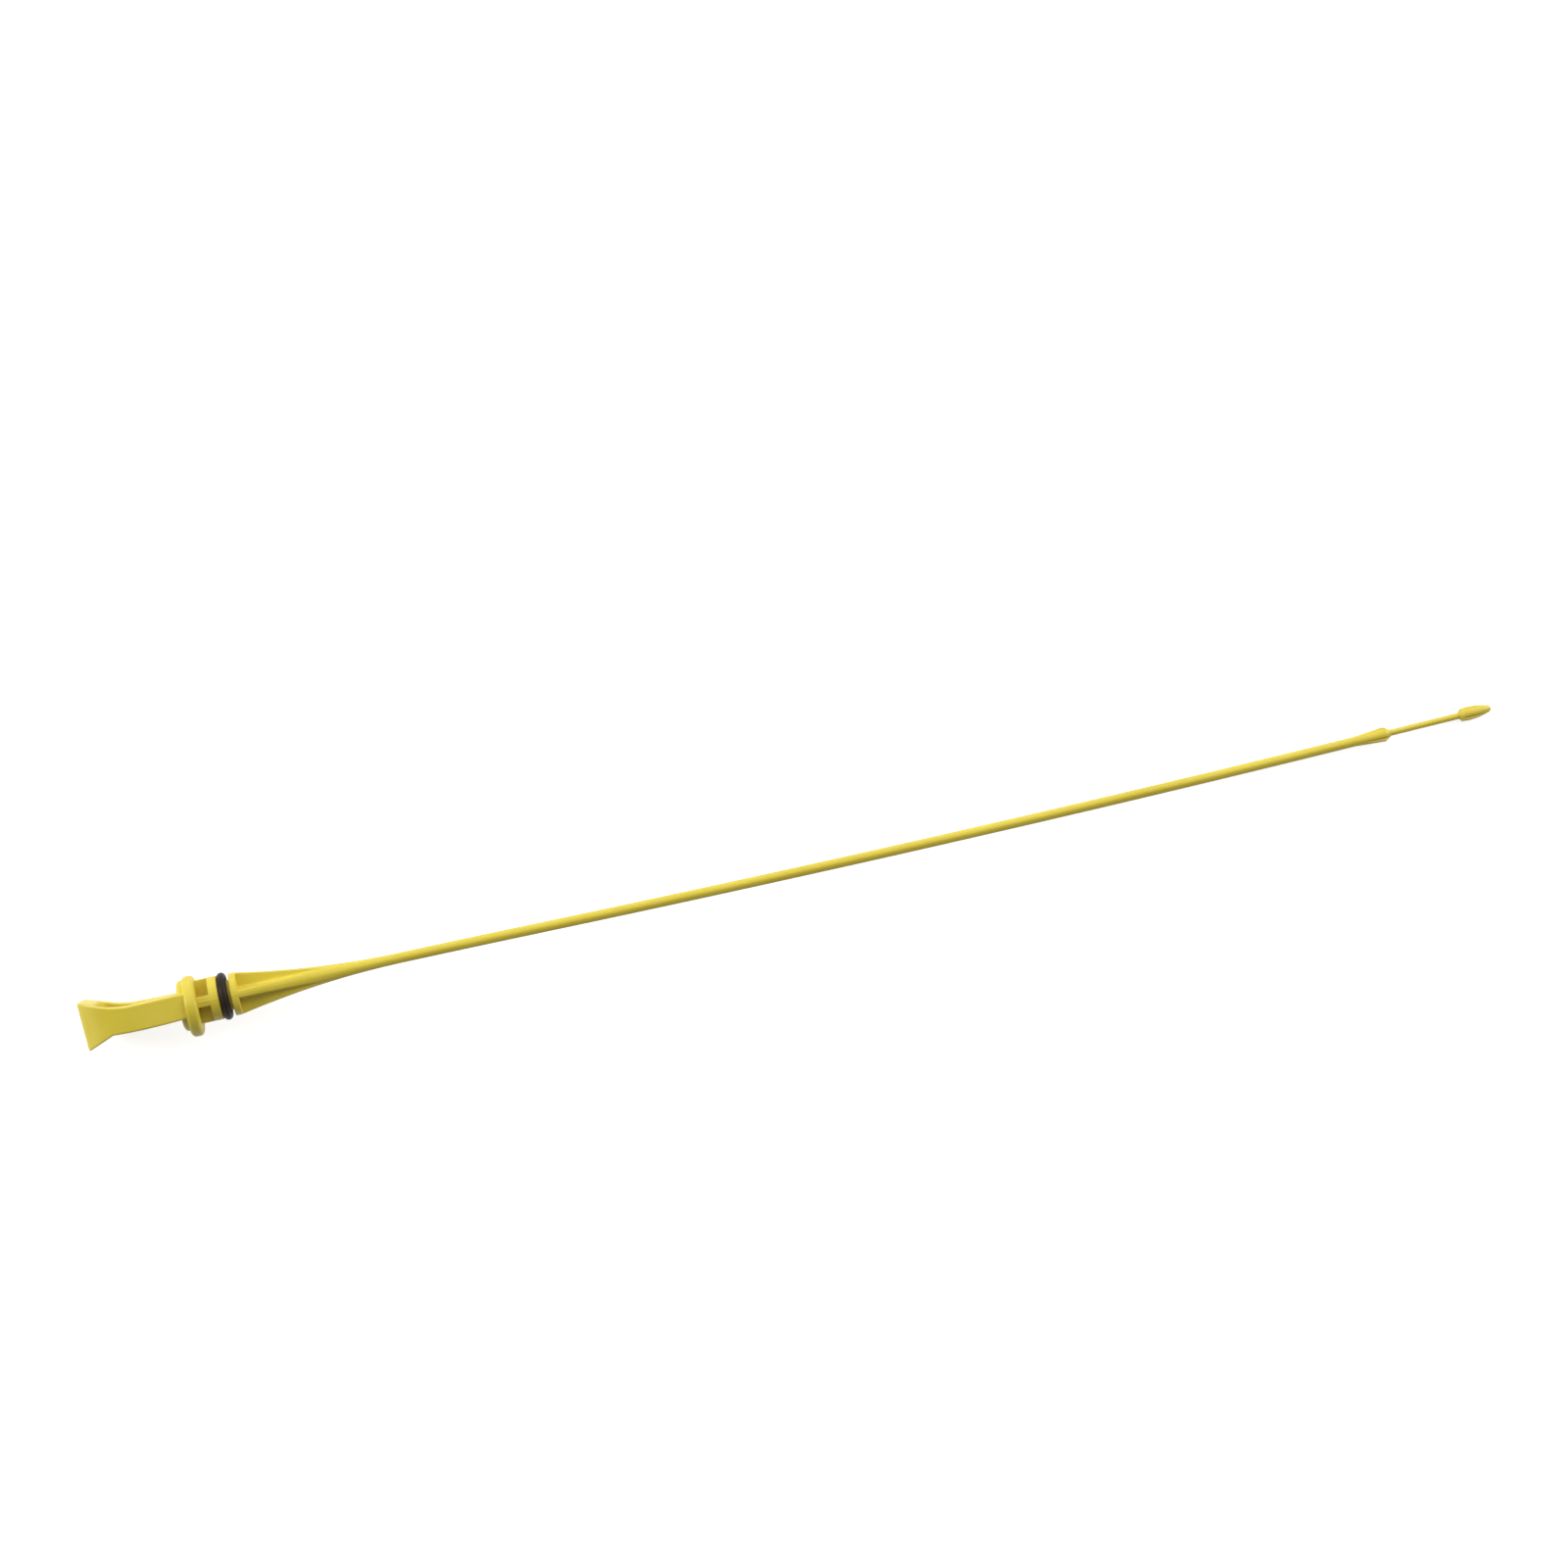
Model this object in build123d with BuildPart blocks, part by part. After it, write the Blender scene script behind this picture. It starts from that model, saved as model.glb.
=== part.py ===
"""Engine oil dipstick: a one-piece moulded stick with a finger ring, and its rubber sealing ring.

The plug axis is the X axis. The origin is the centre of the flange face that seats on the
dipstick tube, +X runs down the stick to its tip, and the stick lies on one edge of its
finger ring, so the ring stands up in the XZ plane. Lengths are in millimetres.
"""
import os
from math import cos, radians, sin, tan

from build123d import *

# Finger ring, measured back from the seat face towards -X
ring_end = 31.85  # seat face to the far end of the ring
ring_lean = 3.1  # degrees that the far end leans out towards its +Y edge
ring_half_width = 13.0  # axis to the outside of the ring, along Z
ring_corner = 5.5  # rounding of the two outer corners in plan
ring_leg_wall = 3.0
ring_end_wall = 3.8
opening_corner = 2.0
opening_apex = 10.0  # seat face to the narrow end of the finger opening
opening_apex_radius = 1.6
neck_half_width = 7.3  # where the two legs meet the flange, along Z
band_half_height = 3.9  # half the height of the band, along Y
flare_start_upper = 22.2  # where the band begins to widen, on its +Y edge
flare_angle_upper = 22.8  # degrees
flare_round_upper = 25.0
flare_start_lower = 23.9  # and on its -Y edge
flare_angle_lower = 23.2  # degrees
flare_round_lower = 2.0
belly_sag = 0.38  # how far the -Y edge bows out between the flange and the flare
band_edge_round = 0.75

# Seat flange and the boss behind it
flange_thickness = 3.6
flange_radius = 8.92
flange_offset = 0.83  # the flange stands this much further out on the -Y side
flange_rim_flat = 0.9  # what is left of the rim between its two roundings
boss_height = 1.6
boss_radius = 7.45
boss_offset = 0.25  # the boss stands out on the same side, by less
boss_edge_round = 1.3

# Plug, measured from the seat face towards +X
pocket_length = 3.55  # cored-out stretch behind the land
land_length = 2.65
land_radius = 6.43
near_web = 3.0  # thickness of the web in the ring's plane
side_web = 2.4  # thickness of the web across it
pocket_round = 0.3
groove_length = 3.45
collar_length = 2.0
collar_radius = 6.25
plug_edge_bevel = 0.2

# Rubber sealing ring in the groove
seal_section = 2.6
seal_outside = 14.0
seal_clearance = 0.02

# Webbed root, which runs from the collar into the rod
root_length = 47.35
root_radius = 6.15
root_web = 2.24  # thickness of its webs at the collar
root_draft = 1.2  # degrees by which each side of a web thickens towards the rod
root_web_round = 1.2

# Rod, slightly bowed in the XY plane: a short bend one way and a long one the other way
rod_radius = 1.575
rod_lead = 40.0
rod_lead_turn = -0.45  # degrees
rod_length = 269.5  # from the end of the lead to the upper mark
rod_turn = 1.98  # degrees

# Upper level mark, a set of four fins
mark_fin_length = 10.5
mark_run_out = 2.3
mark_radius = 2.37
fin_web = 2.2
fin_web_round = 0.25
fin_turn = -10.0  # the thin rod has let its far end twist about its axis

# Level gauge between the marks, and the finned tip
gauge_radius = 1.03
gauge_length = 24.7
tip_length = 11.5
tip_rise = 1.0  # the fins' blunt upper end
tip_shoulder = 1.9  # from there to the widest point
tip_blunt_radius = 2.05
tip_radius = 2.2
nose_length = 1.25
nose_radius = 1.25

# Positions that follow from the sizes above
land_start = pocket_length
groove_start = land_start + land_length
collar_start = groove_start + groove_length
root_start = collar_start + collar_length
root_end = root_start + root_length
boss_start = -flange_thickness - boss_height
flare_run_upper = ring_end - flare_start_upper + ring_corner
flare_run_lower = ring_end - flare_start_lower + ring_corner
flare_upper = band_half_height + flare_run_upper * tan(radians(flare_angle_upper))
flare_lower = band_half_height + flare_run_lower * tan(radians(flare_angle_lower))
lean_direction = (-sin(radians(ring_lean)), cos(radians(ring_lean)), 0)
wall_tilt = 0.1  # a face whose normal has less Y than this is a wall of the ring
edge_rise = 0.9  # an edge whose direction has less Y than this runs along the band
groove_radius = seal_outside / 2 - seal_section - seal_clearance
seal_centre = groove_start + seal_clearance + seal_section / 2
seal_path_radius = (seal_outside - seal_section) / 2

os.makedirs("parts", exist_ok=True)


def web_cross(reach, web_across_y, web_across_z, corner_round, turn=0.0):
    """Cross of two webs, drawn with Y along the sketch's x and Z along its y."""
    with BuildSketch() as cross:
        Rectangle(web_across_y, 2 * reach, rotation=turn)
        Rectangle(2 * reach, web_across_z, rotation=turn)
        fillet(cross.vertices().sort_by_distance((0, 0, 0))[:4], corner_round)
    return cross.sketch


def section_plane(axis_plane, distance):
    """Plane across the axis, so many millimetres along the axis plane's x direction."""
    origin = axis_plane.origin + axis_plane.x_dir * distance
    return Plane(origin=origin, x_dir=axis_plane.y_dir, z_dir=axis_plane.x_dir)


pocket_cross = web_cross(land_radius, near_web, side_web, pocket_round)
root_cross = web_cross(root_radius, root_web, root_web, root_web_round)
mark_cross = web_cross(mark_radius, fin_web, fin_web, fin_web_round, fin_turn)
tip_cross = web_cross(tip_radius, fin_web, fin_web, fin_web_round, fin_turn)

# Finger ring: its plan in XZ, trimmed to the side outline that widens towards the far end
with BuildPart() as finger_ring:
    corner_x = -ring_end + ring_corner
    corner_z = ring_half_width - ring_corner
    opening_x = -ring_end + ring_end_wall + opening_corner
    opening_z = ring_half_width - ring_leg_wall - opening_corner
    with BuildSketch(Plane.XZ):
        with BuildSketch(mode=Mode.PRIVATE) as outside:
            with Locations((corner_x, corner_z), (corner_x, -corner_z)):
                Circle(ring_corner)
            with Locations((-flange_thickness, 0)):
                Rectangle(flange_thickness / 2, 2 * neck_half_width, align=(Align.MIN, Align.CENTER))
            make_hull()
        with BuildSketch(mode=Mode.PRIVATE) as opening:
            with Locations((opening_x, opening_z), (opening_x, -opening_z)):
                Circle(opening_corner)
            with Locations((-opening_apex - opening_apex_radius, 0)):
                Circle(opening_apex_radius)
            make_hull()
        add(outside.sketch)
        add(opening.sketch, mode=Mode.SUBTRACT)
    extrude(amount=max(flare_upper, flare_lower), dir=lean_direction, both=True)
    with BuildSketch(Plane.XY) as side_outline:
        with BuildLine():
            upper = FilletPolyline(
                (0, band_half_height),
                (-flare_start_upper, band_half_height),
                (-flare_start_upper - flare_run_upper, flare_upper),
                radius=flare_round_upper,
            )
            belly = ThreePointArc(
                (0, -band_half_height),
                (-flare_start_lower / 2, -band_half_height - belly_sag),
                (-flare_start_lower, -band_half_height),
            )
            flare = Line(belly @ 1, (-flare_start_lower - flare_run_lower, -flare_lower))
            Line(upper @ 0, belly @ 0)
            Line(upper @ 1, flare @ 1)
        make_face()
        fillet(side_outline.vertices().sort_by_distance(belly @ 1)[0], flare_round_lower)
    extrude(amount=ring_half_width, both=True, mode=Mode.INTERSECT)
    walls = finger_ring.faces().filter_by(lambda face: abs(face.normal_at().Y) < wall_tilt)
    band_walls = walls.sort_by(Axis.X)[:-1]
    band_edges = band_walls.edges().filter_by(lambda edge: abs(edge.tangent_at(0.5).Y) < edge_rise)
    fillet(band_edges, band_edge_round)

# Seat flange with a rounded rim, set off centre, and the rounded boss on its handle side
with BuildPart() as seat_flange:
    with BuildSketch(Plane.YZ.offset(-flange_thickness)):
        with Locations((-flange_offset, 0)):
            Circle(flange_radius)
    extrude(amount=flange_thickness)
    fillet(seat_flange.edges().filter_by(GeomType.CIRCLE), (flange_thickness - flange_rim_flat) / 2)

with BuildPart() as boss:
    with BuildSketch(Plane.YZ.offset(boss_start)):
        with Locations((-boss_offset, 0)):
            Circle(boss_radius)
    extrude(amount=boss_height + flange_thickness / 2)
    fillet(boss.edges().filter_by(GeomType.CIRCLE).sort_by(Axis.X)[0], boss_edge_round)

# Plug: land, seal groove and collar, then the cored-out stretch of crossed webs behind the land
with BuildPart() as plug:
    for start, length, radius in (
        (land_start, land_length, land_radius),
        (groove_start, groove_length, groove_radius),
        (collar_start, collar_length, collar_radius),
    ):
        with BuildSketch(Plane.YZ.offset(start)):
            Circle(radius)
        extrude(amount=length)
    rims = plug.edges().filter_by(GeomType.CIRCLE).filter_by(lambda edge: edge.radius > groove_radius)
    chamfer(rims.sort_by(Axis.X)[1:], plug_edge_bevel)
    with BuildSketch(Plane.YZ):
        Circle(land_radius)
        add(pocket_cross, mode=Mode.INTERSECT)
    extrude(amount=pocket_length)

# Webbed root: a cross of two drafted webs trimmed to a horn that runs out tangent to the rod
with BuildPart() as webbed_root:
    with BuildSketch(section_plane(Plane.XY, root_start)):
        add(root_cross)
    extrude(amount=root_length, taper=-root_draft)
    with BuildSketch(Plane.XY):
        with BuildLine():
            horn = TangentArc((root_end, rod_radius), (root_start, root_radius), tangent=(-1, 0))
            Polyline(horn @ 1, (root_start, 0), (root_end, 0), horn @ 0)
        make_face()
    revolve(axis=Axis.X, mode=Mode.INTERSECT)

# Rod along its bow, and the straight axis that its far end points along
with BuildLine(Plane.XY) as bow:
    lead = JernArc((root_end, 0), (1, 0), rod_lead / radians(abs(rod_lead_turn)), rod_lead_turn)
    JernArc(lead @ 1, lead % 1, rod_length / radians(abs(rod_turn)), rod_turn)
bow_wire = bow.wires()[0]
tip_axis = Plane(origin=bow_wire @ 1, x_dir=bow_wire % 1, z_dir=(0, 0, 1))

with BuildPart() as rod:
    with BuildSketch(Plane.YZ.offset(root_end)):
        Circle(rod_radius)
    sweep(path=bow_wire)

# Upper mark: four fins that rise out of the rod and run out to the thin gauge
mark_length = mark_fin_length + mark_run_out
with BuildPart() as upper_mark:
    with BuildSketch(section_plane(tip_axis, 0)):
        add(mark_cross)
        Circle(rod_radius)
    extrude(amount=mark_length)
    with BuildSketch(tip_axis):
        with BuildLine():
            Polyline(
                (0, rod_radius),
                (mark_fin_length, mark_radius),
                (mark_length, gauge_radius),
                (mark_length, 0),
                (0, 0),
                close=True,
            )
        make_face()
    revolve(axis=Axis(tip_axis.origin, tip_axis.x_dir), mode=Mode.INTERSECT)

with BuildPart() as gauge:
    with BuildSketch(section_plane(tip_axis, mark_length)):
        Circle(gauge_radius)
    extrude(amount=gauge_length)

# Tip: four fins with a blunt upper end, drawn in to a rounded nose
tip_start = mark_length + gauge_length
tip_end = tip_start + tip_length
with BuildPart() as finned_tip:
    with BuildSketch(section_plane(tip_axis, tip_start)):
        add(tip_cross)
    extrude(amount=tip_length)
    with BuildSketch(tip_axis):
        with BuildLine():
            blunt = Line((tip_start, gauge_radius), (tip_start + tip_rise, tip_blunt_radius))
            shoulder = Line(blunt @ 1, (tip_start + tip_rise + tip_shoulder, tip_radius))
            taper = Bezier(
                shoulder @ 1,
                ((tip_start + tip_rise + tip_shoulder + tip_end) / 2, tip_radius),
                (tip_end - nose_length, nose_radius),
            )
            nose = TangentArc((tip_end, 0), taper @ 1, tangent=(0, 1))
            Polyline(nose @ 0, (tip_start, 0), blunt @ 0)
        make_face()
    revolve(axis=Axis(tip_axis.origin, tip_axis.x_dir), mode=Mode.INTERSECT)

# The whole moulding
with BuildPart() as moulded_stick:
    for piece in (finger_ring, boss, seat_flange, plug, webbed_root, rod, upper_mark, gauge, finned_tip):
        add(piece.part)

# Rubber ring, seated on the groove floor against the land
with BuildPart() as o_ring:
    with BuildSketch(Plane.XY):
        with Locations((seal_centre, seal_path_radius)):
            Circle(seal_section / 2)
    revolve(axis=Axis.X)

moulded_stick.part.label = "moulded_stick"
export_step(moulded_stick.part, "parts/moulded_stick.step")
o_ring.part.label = "o_ring"
export_step(o_ring.part, "parts/o_ring.step")
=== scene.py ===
"""Engine oil dipstick: the moulded stick and its rubber sealing ring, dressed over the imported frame.

The stick lies along X with the seat face of its flange at the origin. Lengths are given in millimetres
and turned to metres as each shape is added.
"""

import math

import bmesh
import bpy
from mathutils import Matrix, Vector


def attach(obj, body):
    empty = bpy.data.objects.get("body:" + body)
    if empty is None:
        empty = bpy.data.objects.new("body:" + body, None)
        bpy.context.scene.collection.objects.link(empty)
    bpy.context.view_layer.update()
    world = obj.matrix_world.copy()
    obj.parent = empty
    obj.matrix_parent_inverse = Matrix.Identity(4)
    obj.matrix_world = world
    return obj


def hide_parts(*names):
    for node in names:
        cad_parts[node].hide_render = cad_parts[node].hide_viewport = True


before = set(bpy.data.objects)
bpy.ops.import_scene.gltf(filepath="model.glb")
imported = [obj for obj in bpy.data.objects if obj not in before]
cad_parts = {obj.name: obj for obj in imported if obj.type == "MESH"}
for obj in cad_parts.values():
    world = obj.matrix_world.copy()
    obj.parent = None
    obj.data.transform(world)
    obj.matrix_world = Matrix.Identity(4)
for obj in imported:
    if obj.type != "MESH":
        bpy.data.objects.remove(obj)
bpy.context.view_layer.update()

MM = 0.001

# Finger ring
RING_END = 31.85
RING_LEAN = 3.1
RING_HALF_WIDTH = 13.0
RING_CORNER = 5.6
RING_CORNER_LENGTH = 10.0
OPENING_CORNER_X = -26.05
OPENING_CORNER_Z = 8.0
OPENING_CORNER = 2.0
OPENING_APEX_X = -11.6
OPENING_APEX = 1.6
NECK_HALF_WIDTH = 7.3
BAND_HALF_HEIGHT = 3.6
FLARE_START_UPPER = 21.9
FLARE_ANGLE_UPPER = 20.7
FLARE_ROUND_UPPER = 26.0
FLARE_START_LOWER = 23.5
FLARE_ANGLE_LOWER = 22.6
FLARE_ROUND_LOWER = 2.0
BELLY_SAG = 0.34
BELLY_MIDDLE = 13.1
BELLY_REACH = 10.6
BAND_EDGE_ROUND = 0.58
BAND_EDGE_STEPS = 5
NECK_STATIONS = [-4, -8, -12, -14, -15.5]
UPPER_BEND_STATIONS = [-16.5 - 0.9 * step for step in range(15)]
LOWER_BEND_STATIONS = [-23.3, -23.5, -23.95, -24.3]
COLUMN_WIDTH = 0.01
RING_CORNER_SIDES = 96
OPENING_SIDES = 40
OPENING_MIDDLE_X = -20.0

# Boss and seat flange
FLANGE_THICKNESS = 3.6
FLANGE_RADIUS = 8.92
FLANGE_OFFSET = 0.83
FLANGE_RIM_ROUND = 1.35
FLANGE_RIM_STEPS = 10
BOSS_START = -5.2
BOSS_END = -1.0
BOSS_RADIUS = 7.45
BOSS_OFFSET = 0.25
BOSS_EDGE_ROUND = 1.3
BOSS_EDGE_STEPS = 8

# Plug
LAND_START = 3.55
LAND_RADIUS = 6.43
GROOVE_START = 6.2
GROOVE_RADIUS = 4.38
COLLAR_START = 9.65
COLLAR_RADIUS = 6.25
ROOT_START = 11.65
PLUG_EDGE_BEVEL = 0.2
NEAR_WEB = 3.0
SIDE_WEB = 2.4
POCKET_ROUND = 0.3
POCKET_ROUND_STEPS = 4
POCKET_WEB_LAP = 0.6
POCKET_WEB_SINK = 0.5

# Sealing ring
SEAL_SECTION = 2.6
SEAL_PATH_RADIUS = 5.7
SEAL_CENTRE = 7.52
SEAL_SECTION_SIDES = 48
SEAL_STEPS = 160

# Webbed root and rod
ROOT_END = 59.0
ROOT_RADIUS = 6.15
ROOT_WEB = 2.24
ROOT_DRAFT = 1.2
ROOT_WEB_ROUND = 1.2
ROOT_WEB_ROUND_STEPS = 8
ROOT_LAP = 0.9
ROOT_STEPS = 40
WEBS_END_RADIUS = 3.05
ROD_RADIUS = 1.575
ROD_LEAD = 40.0
ROD_LEAD_TURN = -0.45
ROD_LEAD_STEPS = 6
ROD_LENGTH = 269.5
ROD_TURN = 1.98
ROD_STEPS = 40

# Level marks
MARK_FIN_LENGTH = 10.5
MARK_RUN_OUT = 2.3
MARK_RADIUS = 2.37
FIN_WEB = 2.2
FIN_WEB_ROUND = 0.25
FIN_WEB_ROUND_STEPS = 4
FIN_REACH = 4.0
FIN_TURN = -10.0
GAUGE_RADIUS = 1.03
GAUGE_LENGTH = 24.7
TIP_LENGTH = 11.5
TIP_RISE = 1.0
TIP_SHOULDER = 1.9
TIP_BLUNT_RADIUS = 2.05
TIP_RADIUS = 2.2
TIP_TAPER_STEPS = 16
NOSE_LENGTH = 1.25
NOSE_RADIUS = 1.25
NOSE_STEPS = 8
NOSE_QUARTER = 8.3

# Marks of the moulds: the parting line of the stick, a witness line across its rod, the seal's seam
RIDGE_HEIGHT = 0.06
RIDGE_HALF_WIDTH = 0.22
ROD_RIDGE_HEIGHT = 0.025
WITNESS_PLACE = 66.4
WITNESS_HALF_WIDTH = 0.12
WITNESS_HEIGHT = 0.05
SEAL_SEAM = 0.03

# Outer edges of the webs, and how they fade into the round along the root
WEB_EDGE_ROUND = 0.28
WEB_EDGE_STEPS = 3
ROOT_ROOF = 0.07
ROOT_FADE = 9.0
ROOT_FACETS = (0.45, 0.65)

# Fineness of the meshes
ROUND_SIDES = 128
FLANGE_SIDES = 100
ROD_SIDES = 48
NEAR = 0.01
SLIVER = 0.004
RIM_MERGE = 0.003
PLASTIC_SMOOTH = 32
RUBBER_SMOOTH = 40


def shape(piece):
    """Makes one piece the only thing selected, and opens its mesh for shaping."""
    bpy.ops.object.select_all(action="DESELECT")
    piece.select_set(True)
    bpy.context.view_layer.objects.active = piece
    bpy.ops.object.mode_set(mode="EDIT")


def close_mesh():
    bpy.ops.object.mode_set(mode="OBJECT")


def name_new(name):
    """Names the primitive that was just added, with its place taken into its mesh."""
    piece = bpy.context.object
    piece.name = name
    bpy.ops.object.transform_apply(location=True, rotation=True, scale=True)
    return piece


def pick(kind, test):
    """In edit mode, selects only the vertices, edges or faces that pass the test."""
    bpy.ops.mesh.select_mode(type=kind)
    bpy.ops.mesh.select_all(action="DESELECT")
    mesh = bmesh.from_edit_mesh(bpy.context.object.data)
    for part in {"VERT": mesh.verts, "EDGE": mesh.edges, "FACE": mesh.faces}[kind]:
        if test(part):
            part.select_set(True)
    mesh.select_flush_mode()
    bmesh.update_edit_mesh(bpy.context.object.data)


def middle(part):
    """Middle of an edge or a face, in millimetres."""
    return sum((vertex.co for vertex in part.verts), Vector()) / len(part.verts) / MM


def pick_end(x, facing=1):
    """Selects the flat end at x that faces along X, or against it."""
    pick("FACE", lambda face: abs(middle(face).x - x) < NEAR and face.normal.x * facing > 0.99)


def from_axis(point):
    return math.hypot(point.y, point.z)


def outward():
    bpy.ops.mesh.select_all(action="SELECT")
    bpy.ops.mesh.remove_doubles(threshold=1e-6)
    bpy.ops.mesh.normals_make_consistent(inside=False)


def combine(piece, tool, operation):
    """Joins, cuts or trims a piece with another one, which is used up."""
    bpy.ops.object.select_all(action="DESELECT")
    piece.select_set(True)
    bpy.context.view_layer.objects.active = piece
    bpy.ops.object.modifier_add(type="BOOLEAN")
    modifier = piece.modifiers[-1]
    modifier.operation = operation
    modifier.solver = "EXACT"
    modifier.object = tool
    bpy.ops.object.modifier_apply(modifier=modifier.name)
    bpy.data.objects.remove(tool)
    return piece


def turned(name, stations, sides=ROUND_SIDES, offset_y=0.0):
    """A disc drawn out along X and resized from station to station, each one its place and radius."""
    bpy.ops.object.select_all(action="DESELECT")
    first_x, first_radius = stations[0]
    bpy.ops.mesh.primitive_circle_add(
        vertices=sides,
        radius=first_radius * MM,
        fill_type="NGON",
        location=(first_x * MM, offset_y * MM, 0),
        rotation=(0, math.pi / 2, 0),
    )
    piece = name_new(name)
    shape(piece)
    bpy.ops.mesh.select_mode(type="FACE")
    bpy.ops.mesh.select_all(action="SELECT")
    for (x, radius), (next_x, next_radius) in zip(stations, stations[1:]):
        bpy.ops.mesh.extrude_region_move(TRANSFORM_OT_translate={"value": ((next_x - x) * MM, 0, 0)})
        growth = next_radius / radius
        bpy.ops.transform.resize(
            value=(1, growth, growth), center_override=(next_x * MM, offset_y * MM, 0)
        )
    outward()
    close_mesh()
    return piece


def round_rims(piece, places, size, steps):
    """Rounds the rims of a turned piece that stand at these places along X."""
    shape(piece)
    pick(
        "EDGE",
        lambda edge: any(all(abs(v.co.x / MM - x) < NEAR for v in edge.verts) for x in places),
    )
    bpy.ops.mesh.bevel(offset=size * MM, segments=steps, profile=0.5, affect="EDGES")
    outward()
    close_mesh()


def block(name, low, high):
    """A cube stretched between two corners."""
    bpy.ops.object.select_all(action="DESELECT")
    bpy.ops.mesh.primitive_cube_add(
        size=1,
        location=[(a + b) / 2 * MM for a, b in zip(low, high)],
        scale=[(b - a) * MM for a, b in zip(low, high)],
    )
    return name_new(name)


def crossed_webs(
    name,
    stations,
    web_y,
    web_z,
    corner_round,
    steps,
    ridge=(0.0, 1.0),
    draft=0.0,
    fade_out=None,
    facets=(),
):
    """A square bar whose four sides are drawn out into webs, then drawn along X from station to station.

    Each station is a place and the radius that the webs reach there. The inside corners and the webs'
    outer edges are rounded, and the webs along Z carry the ridge of the parting line. With draft, the
    webs thicken along X and the inside corners tighten. With fade_out, the place where it ends and its
    length, the ridge and the rounding of the webs' outer edges fade away into a plain round. The webs'
    outer faces are cut at the places of facets too, so that they can follow that round.
    """
    (start, reach), (first_end, _) = stations[:2]
    piece = block(name, (start, -web_y / 2, -web_z / 2), (first_end, web_y / 2, web_z / 2))
    shape(piece)
    for direction in (Vector((0, 1, 0)), Vector((0, -1, 0)), Vector((0, 0, 1)), Vector((0, 0, -1))):
        half = web_y / 2 if direction.y else web_z / 2
        pick(
            "FACE",
            lambda face: face.normal.dot(direction) > 0.9 and abs(from_axis(middle(face)) - half) < NEAR,
        )
        bpy.ops.mesh.extrude_region_move(TRANSFORM_OT_translate={"value": direction * (reach - half) * MM})
    for size, parts, corners in (
        (corner_round, steps, [(web_y / 2, web_z / 2)]),
        (WEB_EDGE_ROUND, WEB_EDGE_STEPS, [(web_y / 2, reach), (reach, web_z / 2)]),
    ):
        pick(
            "EDGE",
            lambda edge: any(
                abs(abs(middle(edge).y) - y) < NEAR and abs(abs(middle(edge).z) - z) < NEAR
                for y, z in corners
            ),
        )
        bpy.ops.mesh.bevel(offset=size * MM, segments=parts, profile=0.5, affect="EDGES")
    for normal, places in (("Y", (-RIDGE_HALF_WIDTH, 0, RIDGE_HALF_WIDTH)), ("Z", (0,))):
        across = Vector((0, normal == "Y", normal == "Z"))
        for place in places + tuple(side * facet for facet in facets for side in (1, -1)):
            bpy.ops.mesh.select_all(action="SELECT")
            bpy.ops.mesh.bisect(plane_co=across * place * MM, plane_no=across)
    for end in (1, -1):
        pick("FACE", lambda face: face.normal.x * end > 0.99)
        bpy.ops.mesh.dissolve_faces()

    columns = []
    ridge_height, ridge_half_width = ridge
    for out, across, top in ((2, 1, ridge_height), (1, 2, 0.0)):
        heights = {}
        for vertex in bmesh.from_edit_mesh(piece.data).verts:
            height = abs(vertex.co[out]) / MM
            if height > reach - WEB_EDGE_ROUND - NEAR:
                heights[round(abs(vertex.co[across]) / MM, 3)] = height
        for place, height in heights.items():
            columns.append((out, across, place, height, top * max(0, 1 - place / ridge_half_width)))

    def edge_depth(x):
        """Share of the ridge and of the edge rounding that is left at x."""
        return min(1.0, max(0.0, (fade_out[0] - x) / fade_out[1])) if fade_out else 1.0

    def set_reach(x, old_radius, radius, old_growth, growth, old_depth, depth):
        """Brings the webs' ends, at one station or at all, from one radius and thickness to another."""
        for out, across, place, height, top in columns:
            side = place > RIDGE_HALF_WIDTH + NEAR
            half = web_y / 2 if across == 1 else web_z / 2
            old_place = place * (1 + old_growth / half * side)
            new_place = place * (1 + growth / half * side)
            edge = height - reach + top
            old = height
            if old_radius:
                old = math.sqrt(old_radius**2 - old_place**2) + old_depth * edge
            new = math.sqrt(radius**2 - new_place**2) + depth * edge
            pick(
                "VERT",
                lambda v: (x is None or abs(v.co.x / MM - x) < NEAR)
                and abs(abs(v.co[across]) / MM - old_place) < SLIVER
                and abs(v.co[out]) / MM > old - NEAR,
            )
            size = [1, 1, 1]
            size[out] = new / old
            size[across] = new_place / old_place if side else 1
            bpy.ops.transform.resize(value=size, center_override=(0, 0, 0))

    def tighten_corners(x, old_growth, growth):
        """Draws the inside corners at one station in towards their own centres."""
        corner_y = web_y / 2 + corner_round
        corner_z = web_z / 2 + corner_round
        size = (corner_round - growth) / (corner_round - old_growth)
        for side_y, side_z in ((1, 1), (1, -1), (-1, 1), (-1, -1)):
            pick(
                "VERT",
                lambda v: abs(v.co.x / MM - x) < NEAR
                and RIDGE_HALF_WIDTH + NEAR < v.co.y * side_y / MM < corner_y + NEAR
                and NEAR < v.co.z * side_z / MM < corner_z + NEAR,
            )
            centre = Vector((x, side_y * corner_y, side_z * corner_z)) * MM
            bpy.ops.transform.resize(value=(1, size, size), center_override=centre)

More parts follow.
